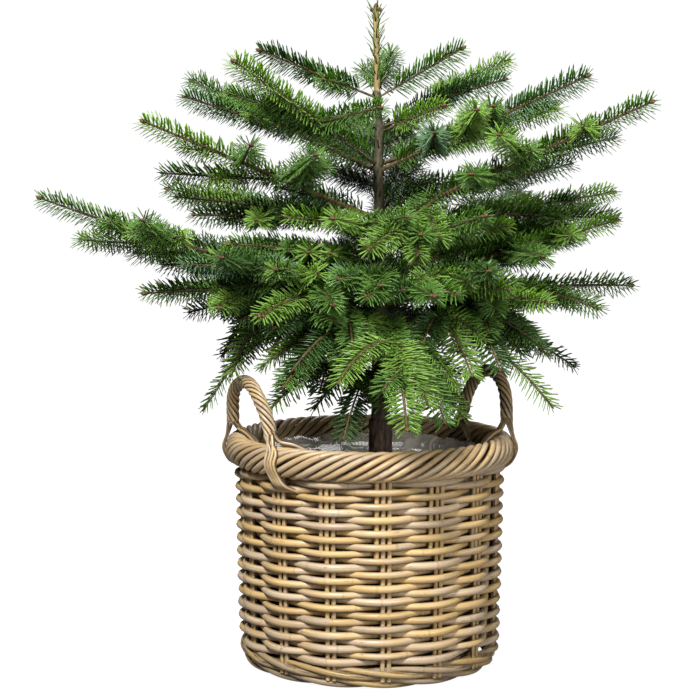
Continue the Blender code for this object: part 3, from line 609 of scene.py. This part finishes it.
trunk = {
    "lean": ((0.2503, 0.0150), (0.45, 0.0140), (0.60, 0.0125), (0.672, 0.0110), (0.721, 0.0130),
             (0.766, 0.0095), (0.893, 0.0075)),
    "foot": 0.2503, "top": 0.893, "shoulder": 0.330, "footRadius": 0.0160, "flare": 0.0030,
    "flareHeight": 0.014, "stemRadius": 0.0132, "leaderRadius": 0.0040, "leaderFoot": 0.775,
    "whorls": (0.505, 0.597, 0.672, 0.721, 0.766), "swell": 0.0018,
    "swellReach": 0.009, "budLength": 0.011, "budRadius": 0.0046, "rings": 330,
    "relief": 0.0011, "reliefScale": (140.0, 140.0, 42.0), "youngRelief": 0.45, "fine": 2.3,
    "fineShare": 0.5, "detail": 10, "barkEdge": 0.004, "edgeScale": 150.0, "edgeUp": 0.002,
    "budShare": 0.6,
}


def trunkAxis(heights):
    heights = np.atleast_1d(heights)
    leans = np.interp(heights, [low for low, _ in trunk["lean"]], [lean for _, lean in trunk["lean"]])
    return np.stack([leans, np.zeros(len(heights)), heights], axis=1)


def trunkRadius(height):
    if height < trunk["shoulder"]:
        flare = max(0.0, 1 - (height - trunk["foot"]) / trunk["flareHeight"])
        return trunk["footRadius"] + trunk["flare"] * flare ** 2
    share = min(1.0, (height - trunk["shoulder"]) / (trunk["leaderFoot"] - trunk["shoulder"]))
    plain = trunk["stemRadius"] + (trunk["leaderRadius"] - trunk["stemRadius"]) * share
    swell = max(math.exp(-((height - whorl) / trunk["swellReach"]) ** 2) for whorl in trunk["whorls"])
    return plain + trunk["swell"] * swell


def makeTrunk():
    end = trunk["top"] - trunk["budShare"] * trunk["budLength"]
    heights = np.linspace(trunk["foot"], end, trunk["rings"])
    radii = np.array([trunkRadius(height) for height in heights])
    stem = addTubes("trunkStem", [(trunkAxis(heights), radii)], trunk["detail"], 31)
    stretch = Vector(trunk["reliefScale"])
    for vertex in stem.data.vertices:
        out = vertex.co - Vector(trunkAxis(vertex.co.z)[0])
        place = vertex.co * stretch
        relief = noise.noise(place) + trunk["fineShare"] * noise.noise(place * trunk["fine"])
        if out.length > 0.001:
            old = vertex.co.z < trunk["shoulder"]
            vertex.co += out.normalized() * relief * trunk["relief"] * (1.0 if old else trunk["youngRelief"])
    for face in stem.data.polygons:
        edge = trunk["barkEdge"] * noise.noise(face.center * trunk["edgeScale"])
        starts = (trunk["shoulder"] + trunk["edgeUp"], trunk["leaderFoot"] + edge)
        face.material_index = sum(face.center.z > start for start in starts)
    return stem


keep(makeTrunk(), "trunk_bark", ["trunk"], looks["barkOld"], looks["barkYoung"], looks["barkLeader"])
print("trunk grown")


# Side shoots clockwise and anticlockwise of a bough: angle off its heading, and rise.
# There is a pair for each year's end, and the last pair serves the years after it.
rising = (((48, 18), (48, 18)),)
even = (((48, 8), (48, 8)),)
level = (((48, 0), (48, 0)),)
hanging = (((44, -24), (44, -24)),)

# Boughs: foot height, azimuth, rise, length, sag, years of growth and side shoots. Sag
# is how far the middle hangs under the straight line from foot to tip, so an arching
# bough has a negative one.
boughs = {
    "a_left": (0.766, 184, 21.7, 0.168, 0, 1, even),
    "a_right": (0.766, -10, 29.7, 0.130, 0, 1, even),
    "a_back": (0.770, 80, 28.0, 0.130, 0, 1, even),
    "inter_front": (0.7207, -42, 16.9, 0.113, 0, 1, even),
    "inter_back": (0.7240, 28, 25.2, 0.224, 0, 2, rising),
    "b_left": (0.676, 225, 26.6, 0.289, 0, 2, (((44, 12), (78, 0)),)),
    "b_right": (0.668, -24, 22.8, 0.314, 0, 2, (((66, 6), (48, 10)),)),
    "b_back_left": (0.668, 155, 23.6, 0.313, 0, 2, rising),
    "b_back_right": (0.676, 40, 16.0, 0.250, 0, 2, even),
    "b_back": (0.664, 98, 20.0, 0.260, 0, 2, rising),
    "c_left": (0.602, 205, 21.3, 0.357, 0, 2, (((34, 0), (76, 8)),)),
    "c_right": (0.598, -30, 22.1, 0.416, 0, 3, (((80, -44), (46, 10)), ((72, 0), (46, 10)))),
    "c_front": (0.588, 252, 6.5, 0.197, 0, 2, even),
    "c_back_left": (0.594, 163, 9.0, 0.310, 0, 3, (((50, 6), (40, 0)),)),
    "c_back_right": (0.590, 18, 7.8, 0.350, 0, 2, (((40, 0), (46, 4)),)),
    "c_back": (0.602, 82, 14.0, 0.320, 0, 2, even),
    "c_low_front": (0.560, -52, 14.0, 0.216, 0, 2, even),
    "c_low_left": (0.555, 207, 5.0, 0.220, 0, 2, level),
    "d_left": (0.505, 193, 15.8, 0.471, 0.010, 4, (((40, -6), (66, 2)),)),
    "d_low_left": (0.486, 202, 4.5, 0.330, -0.010, 3, (((36, -10), (44, -12)),)),
    "d_right": (0.509, -10, 16.6, 0.328, 0, 3, (((62, -8), (42, 2)),)),
    "d_right_low": (0.488, 9, 3.6, 0.352, -0.008, 3, (((46, -12), (40, -12)),)),
    "d_back_right": (0.526, 31, 14.2, 0.375, 0, 3, level),
    "d_back": (0.500, 97, 12.0, 0.340, 0, 2, level),
    "d_back_left": (0.509, 146, 10.0, 0.350, 0, 3, level),
    "d_front_left": (0.496, 236, -1.0, 0.270, -0.020, 3, level),
    "d_front": (0.500, 285, 4.0, 0.240, -0.010, 3, level),
    "e_left": (0.464, 188, -25.5, 0.266, -0.070, 3, (((30, -40), (34, -40)),)),
    "e_front_left": (0.450, 238, -12.0, 0.240, -0.030, 3, hanging),
    "e_front": (0.455, 275, -16.8, 0.325, -0.050, 3, (((44, -24), (26, -50)),)),
    "e_right": (0.452, -25, -20.0, 0.262, -0.050, 3, hanging),
    "e_far_right": (0.466, 5, -13.6, 0.275, -0.032, 3, hanging),
    "e_back": (0.456, 92, -12.0, 0.300, -0.040, 2, hanging),
    "e_back_left": (0.450, 145, -14.0, 0.270, -0.040, 3, hanging),
    "f_left": (0.408, 209, -17.0, 0.175, -0.025, 2, hanging),
    "f_front": (0.395, 250, -26.0, 0.160, -0.030, 2, hanging),
    "f_right": (0.402, -40, -22.0, 0.150, -0.025, 2, hanging),
    "f_back": (0.420, 50, -25.0, 0.200, -0.020, 2, hanging),
}
growth = {
    "seed": 41, "yearlyGain": 1.35, "sideAngle": 46.0, "sideShare": 0.78, "longestSide": 0.190,
    "shortest": (0.0, 0.045, 0.050, 0.045), "angleSpread": 0.16, "lengthSpread": 0.20,
    "riseSpread": 6.0, "extraApart": 0.042, "extraShare": 0.46, "extraShortest": 0.034,
    "extraLongest": 0.092, "placeSpread": 0.03, "extraRange": (0.7, 1.2), "pairClear": 0.018,
    "bareFoot": 0.05, "bareExtra": 0.15, "bareSide": 0.1, "finerSeed": 500,
}
wood = {
    "footShare": 0.0115, "tipRadius": 0.0014, "sideFoot": 0.0015, "sideShare": 0.0060, "places": 9,
    "fineShare": 0.8, "taper": 0.8,
}
needles = {
    "length": 0.0262, "width": 0.00225, "thick": 0.0010, "perMetre": 1700, "oldShare": 0.90,
    "topShare": 0.92, "lean": 64.0, "tipLean": 46.0, "tipShare": 0.70, "leanSpread": 3.0, "bend": 0.10,
    "rows": 9, "rowStep": 4, "turnSpread": 0.16, "footSpread": 0.0005, "mostInPiece": 15500,
    "bareRoot": 0.020, "bareSide": 0.004, "shortest": 0.006, "fewest": 6, "underShare": 0.75,
    "topLean": 6, "tipReach": 0.018, "range": (0.80, 1.10), "facing": 0.5, "sunk": 0.8,
    "pattern": (55.0, 55.0, 55.0), "roughness": 0.26, "specular": 0.34, "dark": 0.72,
    "newLight": 0.34, "oldLight": 0.08, "freshShare": 0.42,
    "full": (0.17, 0.83),   # shares of the length between which it has its full width
}


def makeAxis(order, foot, azimuth, rise, length, sag, years, sides, start=0.0):
    angle = math.radians(rise)
    straight = (math.cos(angle) * radial(azimuth) + math.sin(angle) * up) * length
    return {"order": order, "foot": foot, "azimuth": azimuth, "length": length, "sag": sag,
            "years": years, "sides": sides, "start": start, "straight": straight}


def axisPoints(axis, shares):
    shares = np.atleast_1d(shares)[:, None]
    return axis["foot"] + axis["straight"] * shares - 4 * axis["sag"] * shares * (1 - shares) * up


def axisDirections(axis, shares):
    shares = np.atleast_1d(shares)[:, None]
    return unit(axis["straight"] - 4 * axis["sag"] * (1 - 2 * shares) * up)


def yearEnds(years):
    grown = np.cumsum([growth["yearlyGain"] ** year for year in range(years)])
    return grown / grown[-1]


def sideAxis(axis, share, turn, angle, sideRise, length, years, chance):
    slope = math.degrees(math.asin(axisDirections(axis, share)[0][2]))
    rise = (slope + 2 * sideRise) / 3 + spreadOf(chance, growth["riseSpread"])
    return makeAxis(axis["order"] + 1, axisPoints(axis, share)[0], axis["azimuth"] + turn * angle, rise,
                    length, axis["sag"] * length / axis["length"], years,
                    (((growth["sideAngle"], sideRise),) * 2,))


# A pair at the end of each year's growth but the last
def sideAxes(axis, after, chance):
    shoots = []
    for year, share in enumerate(yearEnds(axis["years"])[:-1]):
        pair = axis["sides"][min(year, len(axis["sides"]) - 1)]
        for turn, (angle, sideRise) in zip((-1, 1), pair):
            angle *= chance.uniform(1 - growth["angleSpread"], 1 + growth["angleSpread"])
            vary = chance.uniform(1 - growth["lengthSpread"], 1 + growth["lengthSpread"])
            length = min((1 - share) * axis["length"] * growth["sideShare"] * vary, growth["longestSide"])
            shoot = sideAxis(axis, share, turn, angle, sideRise, length, axis["years"] - 1 - year, chance)
            order = shoot["order"]
            if share > after and order < len(growth["shortest"]) and length > growth["shortest"][order]:
                shoots.append(shoot)
    return shoots


# Small shoots between the years' pairs, on alternate sides
def extraAxes(axis, after, chance):
    shoots = []
    ends = yearEnds(axis["years"])
    for place in range(1, int(axis["length"] / growth["extraApart"])):
        share = place * growth["extraApart"] / axis["length"] + spreadOf(chance, growth["placeSpread"])
        length = min((1 - share) * axis["length"] * growth["extraShare"], growth["extraLongest"])
        length *= chance.uniform(*growth["extraRange"])
        angle, sideRise = axis["sides"][-1][place % 2]
        shoot = sideAxis(axis, share, (-1, 1)[place % 2], angle, sideRise, length, 1, chance)
        clearOfPair = min(abs(ends - share)) * axis["length"] > growth["pairClear"]
        if share > after and clearOfPair and length > growth["extraShortest"]:
            shoots.append(shoot)
    return shoots


def growBough(name, seed):
    chance = random.Random(seed)
    finer = random.Random(seed + growth["finerSeed"])
    height, azimuth, rise, length, *others = boughs[name]
    start = trunkRadius(height) / length
    axis = makeAxis(0, trunkAxis(height)[0], azimuth, rise, length, *others, start)
    grown = [axis]
    waiting = sideAxes(axis, start + growth["bareFoot"], chance)
    waiting += extraAxes(axis, start + growth["bareExtra"], finer)
    while waiting:
        grown += waiting
        later = []
        for shoot in waiting:
            later += sideAxes(shoot, 0.0, chance)
            if shoot["order"] < 2:
                later += extraAxes(shoot, growth["bareSide"], finer)
        waiting = later
    return grown


def twigRadii(axis, shares):
    if axis["order"] == 0:
        foot = wood["footShare"] * axis["length"]
    else:
        fine = wood["fineShare"] if axis["order"] > 1 else 1.0
        foot = wood["sideFoot"] + wood["sideShare"] * axis["length"] * fine
    return wood["tipRadius"] + (foot - wood["tipRadius"]) * (1 - shares) ** wood["taper"]


def takeCorners():   # those of the new object, which then goes
    model = bpy.context.object
    corners = np.array([vertex.co for vertex in model.data.vertices])
    faces = [face.vertices[:] for face in model.data.polygons]
    bpy.data.objects.remove(model, do_unlink=True)
    return corners, faces


# The needle: a thin three-sided blade with a point at each end. Kind 0 are the faces
# beside its ridge and kind 1 is the flat underside towards -Y.
def modelNeedle():
    addDrum("needleModel", 3, 0.5, *needles["full"], "TRIFAN")
    corners, faces = takeCorners()
    middle = np.hypot(corners[:, 0], corners[:, 1]) < 0.01
    corners[middle, 2] = corners[middle, 2] > 0.5
    flat = np.array([face for face in faces if len(face) == 4])
    tips = [face for face in faces if len(face) == 3]
    faces = np.array([(a, b, c) for a, b, c, d in flat] + [(a, c, d) for a, b, c, d in flat] + tips)
    a, b, c = (corners[faces[:, place]] for place in range(3))
    return corners, faces, (np.cross(b - a, c - a)[:, 1] < 0).astype(int)


needleCorners, needleFaces, needleKinds = modelNeedle()


# Needles along a stretch of one shoot stand in rows, each row staggered against the next.
# Gives their feet, directions, faces and lengths.
def spray(axis, start, end, dense, comb, chance):
    count = max(needles["fewest"], int(axis["length"] * (end - start) * needles["perMetre"] * dense))
    index = np.arange(count)
    shares = start + (end - start) * (index + 0.5) / count
    shares = shares + chance.uniform(-1, 1, count) * needles["footSpread"] / axis["length"]
    shares = np.clip(shares, start, end)
    row = (index * needles["rowStep"]) % needles["rows"]
    turn = (row + 0.5) / needles["rows"] * 2 * math.pi - math.pi      # 0 is up
    turn = turn + chance.uniform(-1, 1, count) * needles["turnSpread"]
    quarter = 0.5 * math.pi
    squeeze = np.where(np.abs(turn) > quarter, needles["underShare"] * comb, comb)
    turn = np.sign(turn) * (quarter + (np.abs(turn) - quarter) * squeeze)
    along = axisDirections(axis, shares)
    across = unit(np.cross(along, up))
    above = np.cross(across, along)
    out = swung(turn, above, across)
    top = np.clip(np.cos(turn), 0, 1)
    lean = needles["lean"] - needles["topLean"] * top + chance.normal(0, needles["leanSpread"], count)
    reach = needles["tipReach"]
    ended = np.clip((shares * axis["length"] - axis["length"] + reach) / reach, 0, 1)
    lean = np.radians(lean + (needles["tipLean"] - lean) * ended)
    way = unit(swung(lean, along, out))
    face = needles["facing"] * along + above
    face = unit(face - way * np.sum(face * way, axis=1, keepdims=True))
    length = needles["length"] * (1 - (1 - needles["topShare"]) * top)
    length = length * chance.uniform(*needles["range"], count) * (1 - (1 - needles["tipShare"]) * ended)
    feet = axisPoints(axis, shares) + needles["sunk"] * out * twigRadii(axis, shares)[:, None]
    return feet, way, face, length


def needleMesh(name, sprays, materials, slot, nodes):
    feet, way, face, length = (np.concatenate(part) for part in zip(*sprays))
    side = np.cross(face, way)
    x, y, z = (needleCorners[:, place][None, :, None] for place in range(3))
    run = length[:, None, None] * z
    rise = needles["thick"] * y - needles["bend"] * run * z
    corners = (feet[:, None, :] + way[:, None, :] * run + side[:, None, :] * needles["width"] * x
               + face[:, None, :] * rise)
    faces = needleFaces[None] + len(needleCorners) * np.arange(len(feet))[:, None, None]
    piece = addMesh(name, corners.reshape(-1, 3), faces.reshape(-1, 3), np.tile(needleKinds, len(feet)))
    keep(piece, slot, nodes, *materials)


tones = {   # upper side and underside of the needles
    "Bright": ((0.20, 0.36, 0.060), (0.130, 0.305, 0.009)),
    "Fresh": ((0.11, 0.23, 0.042), (0.056, 0.162, 0.004)),
    "Deep": ((0.055, 0.12, 0.028), (0.016, 0.058, 0.003)),
    "Silver": ((0.15, 0.27, 0.13), (0.050, 0.150, 0.020)),
}
# Painted light and shade: boughs at the front get a larger share of bright shoots, those at the back and the
# lowest ones a smaller one
paintedLightShift = {"e_front": 0.15, "e_front_left": 0.10, "c_right": 0.15, "c_front": 0.25, "b_right": 0.10,
           "d_back": -0.4, "c_back": -0.4, "b_back": -0.4, "e_back": -0.4, "f_front": -0.3, "f_left": -0.2}


def toneMaterials(tone):
    made = []
    for side, colour in zip(("Upper", "Under"), tones[tone]):
        dark = tuple(needles["dark"] * part for part in colour)
        made.append(makeSpeckled("needle" + tone + side, colour, dark, needles["pattern"],
                                 needles["roughness"], 0.0, needles["specular"]))
    return made


# Slot and replaced nodes of each part of the crown, how far round the twig its needles
# stand (1 is all round, 0 to its sides alone), how densely, and how much beyond the
# bright share its fresh and silver shoots take up together
tiers = {
    "Top": ("needles_top", nodesNamed("needles_a", "needles_b", "needles_inter", "needles_leader"),
            0.92, 1.25, 0.56),
    "Middle": ("needles_mid", nodesNamed("needles_c", "needles_d"), 0.80, 1.0, 0.50),
    "Low": ("needles_low", nodesNamed("needles_e", "needles_f"), 0.52, 0.95, 0.42),
}


def growCrown():
    wooden = []
    budded = []
    sprays = {}
    chance = np.random.default_rng(growth["seed"])
    for seed, name in enumerate(boughs, growth["seed"]):
        tier = "Top" if name[0] in "abi" else "Middle" if name[0] in "cd" else "Low"
        comb, density, silver = tiers[tier][2:]
        for axis in growBough(name, seed):
            start = axis["start"]
            shares = np.linspace(0.5 * start, 1.0, wood["places"])
            wooden.append((axisPoints(axis, shares), twigRadii(axis, shares)))
            budded.append((axis, tier == "Low"))
            ends = np.concatenate([[start], yearEnds(axis["years"])])
            bare = needles["bareSide" if axis["order"] else "bareRoot"] / axis["length"]
            for year in range(axis["years"]):
                first, last = max(ends[year], start + bare), ends[year + 1]
                if (last - first) * axis["length"] < needles["shortest"]:
                    continue
                newest = year == axis["years"] - 1
                # the bright share by age is the needles' own colour, new growth being paler; the shift per
                # bough is painted light and shade
                light = needles["newLight" if newest else "oldLight"] + paintedLightShift.get(name, 0.0)
                pick = chance.random()
                steps = (light, light + needles["freshShare"], light + silver)
                tone = ("Bright", "Fresh", "Silver", "Deep")[sum(pick >= step for step in steps)]
                dense = density * (1.0 if newest else needles["oldShare"])
                one = spray(axis, first, last, dense, comb, chance)
                sprays.setdefault((tier, tone), []).append(one)
    return wooden, budded, sprays


# The leader's own needles, with the heights and density of each stretch
leader = {
    "turn": 137.5, "lean": 36, "leanSpread": 9, "length": 0.0190, "range": (0.8, 1.1), "sunk": 0.9,
    "sprays": (("Fresh", 0.785, 0.884, 0.36), ("Deep", 0.62, 0.78, 0.12)), "seed": 9,
}


def leaderSpray(low, high, dense, chance):
    count = int((high - low) * needles["perMetre"] * dense)
    heights = low + (high - low) * (np.arange(count) + 0.5) / count
    turn = np.arange(count) * math.radians(leader["turn"])
    out = np.stack([np.cos(turn), np.sin(turn), np.zeros(count)], axis=1)
    lean = np.radians(leader["lean"] + chance.normal(0, leader["leanSpread"], count))
    way = swung(lean, up, out)
    face = unit(up - way * way[:, 2:])
    length = leader["length"] * chance.uniform(*leader["range"], count)
    radii = np.array([trunkRadius(height) for height in heights])
    return trunkAxis(heights) + leader["sunk"] * radii[:, None] * out, way, face, length


def countNeedles(rows):
    return sum(len(row[3]) for row in rows)


# Groups of whole shoots, each as large as one piece may be
def batches(rows):
    batch = []
    for row in rows:
        if batch and countNeedles(batch + [row]) > needles["mostInPiece"]:
            yield batch
            batch = []
        batch.append(row)
    if batch:
        yield batch


wooden, budded, sprays = growCrown()
chance = np.random.default_rng(leader["seed"])
for tone, low, high, dense in leader["sprays"]:
    sprays.setdefault(("Top", tone), []).append(leaderSpray(low, high, dense, chance))
keep(addTubes("boughWood", wooden, 1, 41), "twig_bark", nodesNamed("bough_"), looks["barkTwig"])
for tone in tones:
    materials = toneMaterials(tone)
    for tier, (slot, nodes, *_) in tiers.items():
        for part, batch in enumerate(batches(sprays.get((tier, tone), [])), 1):
            needleMesh(f"needles{tier}{tone}{part}", batch, materials, slot, nodes)
needleCount = sum(countNeedles(rows) for rows in sprays.values())
print("crown grown:", len(budded), "shoots,", needleCount, "needles")


buds = {
    "length": 0.0100, "radius": 0.0034, "sideTurn": 62.0, "sideSize": 0.85, "alongApart": 0.030,
    "alongSize": 0.70, "sizes": (1.0, 0.70, 0.42), "lowSize": 0.62, "shortestAxis": 0.05, "narrow": 0.35,
    "out": 0.7, "alongFrom": 0.25, "topBuds": ((0.0, 0.0, 1.0), (-0.0058, -0.004, 0.62),
                                               (0.0058, -0.004, 0.62)),   # aside, up, size
}


def makeBuds():
    deselectAll()
    bpy.ops.mesh.primitive_ico_sphere_add(subdivisions=1, radius=1.0)
    shape, faces = takeCorners()
    shape[:, :2] *= 1.0 - buds["narrow"] * np.clip(shape[:, 2:], 0, 1)
    corners = []
    for axis, lowest in budded:
        if axis["order"] > 2 or axis["length"] < buds["shortestAxis"]:
            continue
        whole = buds["sizes"][axis["order"]] * (buds["lowSize"] if lowest else 1.0)
        tip = axisPoints(axis, 1.0)[0]
        along = axisDirections(axis, 1.0)[0]
        across = unit(np.cross(along, up))
        for turn, size in ((0, 1.0), (-1, buds["sideSize"]), (1, buds["sideSize"])):
            angle = math.radians(turn * buds["sideTurn"])
            way = math.cos(angle) * along + math.sin(angle) * across
            side = unit(np.cross(way, up))
            above = np.cross(way, side)
            radius, half = whole * size * buds["radius"], 0.5 * whole * size * buds["length"]
            corners.append(tip + radius * (shape[:, :1] * side + shape[:, 1:2] * above)
                           + half * (shape[:, 2:] + buds["out"]) * way)
        newest = yearEnds(axis["years"])[-2] if axis["years"] > 1 else buds["alongFrom"]
        small = whole * buds["alongSize"] * buds["radius"]
        for place in range(1, int((1 - newest) * axis["length"] / buds["alongApart"])):
            share = newest + place * buds["alongApart"] / axis["length"]
            sideways = (-1, 1)[place % 2] * across
            middle = axisPoints(axis, share)[0] + (0.5 * small) * (sideways + 0.5 * up)
            corners.append(middle + small * shape)
    top = trunkAxis(trunk["top"] - 0.5 * trunk["budLength"])[0]
    stretch = np.array([trunk["budRadius"], trunk["budRadius"], 0.5 * trunk["budLength"]])
    for aside, rise, size in buds["topBuds"]:
        corners.append(top + [aside, 0, rise] + size * shape * stretch)
    index = np.array(faces)[None] + len(shape) * np.arange(len(corners))[:, None, None]
    piece = addMesh("tipBuds", np.concatenate(corners), index.reshape(-1, 3))
    piece.data.shade_smooth()
    return piece


keep(makeBuds(), "twig_bark", [], looks["budScale"])
print("buds set")


studio = {
    "floorSize": 30.0, "floorHeight": -0.0005, "floorColour": (0.20, 0.20, 0.20), "floorRoughness": 0.9,
    "glowNear": 0.93, "glowFar": 1.04, "glowFrom": 0.30, "glowTo": 1.10, "worldLight": 0.012,
    "lights": (((-0.7, -2.1, 2.5), 0.55, 160.0), ((1.5, -2.3, 1.1), 1.0, 40.0),
               ((0.3, 1.9, 2.2), 1.2, 30.0)),   # place, size, power
    "aim": (0.0, 0.0, 0.4), "cameraPlace": (-0.034, -2.60, 0.688), "cameraDown": 5.62, "lens": 100.0,
    "sensor": 36.0,
}


def addStudio():
    white = (1.0, 1.0, 1.0)
    deselectAll()
    bpy.ops.mesh.primitive_plane_add(size=studio["floorSize"])
    ground = bpy.context.object
    ground.name = "studioFloor"
    for corner in ground.data.vertices:
        corner.co.z = studio["floorHeight"]
    material, tree, shader = addPrincipled("floorPale")
    place = addNode(tree, "TexCoord")["Object"]
    away = addNode(tree, "VectorMath", {0: place}, operation="LENGTH")["Value"]
    glow = spread(tree, away, studio["glowFrom"], studio["glowTo"], studio["glowNear"], studio["glowFar"])
    seen = addNode(tree, "LightPath")["Is Camera Ray"]
    feed(tree, shader, {"Base Color": studio["floorColour"], "Roughness": studio["floorRoughness"],
                        "Emission Color": white, "Emission Strength": compute(tree, "MULTIPLY", glow, seen)})
    ground.data.materials.append(material)
    world = bpy.data.worlds.new("studioWorld")
    world.use_nodes = True
    sky = world.node_tree
    seen = addNode(sky, "LightPath")["Is Camera Ray"]
    strength = spread(sky, seen, 0.0, 1.0, studio["worldLight"], studio["glowFar"])
    feed(sky, sky.nodes["Background"], {"Color": white, "Strength": strength})
    bpy.context.scene.world = world
    for index, (place, size, power) in enumerate(studio["lights"]):
        bpy.ops.object.light_add(type="AREA", location=place)
        lamp = bpy.context.object
        lamp.name = f"softLight{index}"
        lamp.data.size, lamp.data.energy = size, power
        lamp.rotation_euler = (Vector(studio["aim"]) - Vector(place)).to_track_quat("-Z", "Y").to_euler()
    bpy.ops.object.camera_add(location=studio["cameraPlace"],
                              rotation=(math.radians(90 - studio["cameraDown"]), 0, 0))
    camera = bpy.context.object
    camera.data.lens = studio["lens"]
    camera.data.sensor_width = studio["sensor"]
    bpy.context.scene.camera = camera
    bpy.context.scene.view_settings.view_transform = "Standard"


addStudio()
print("studio set")

bpy.context.view_layer.update()
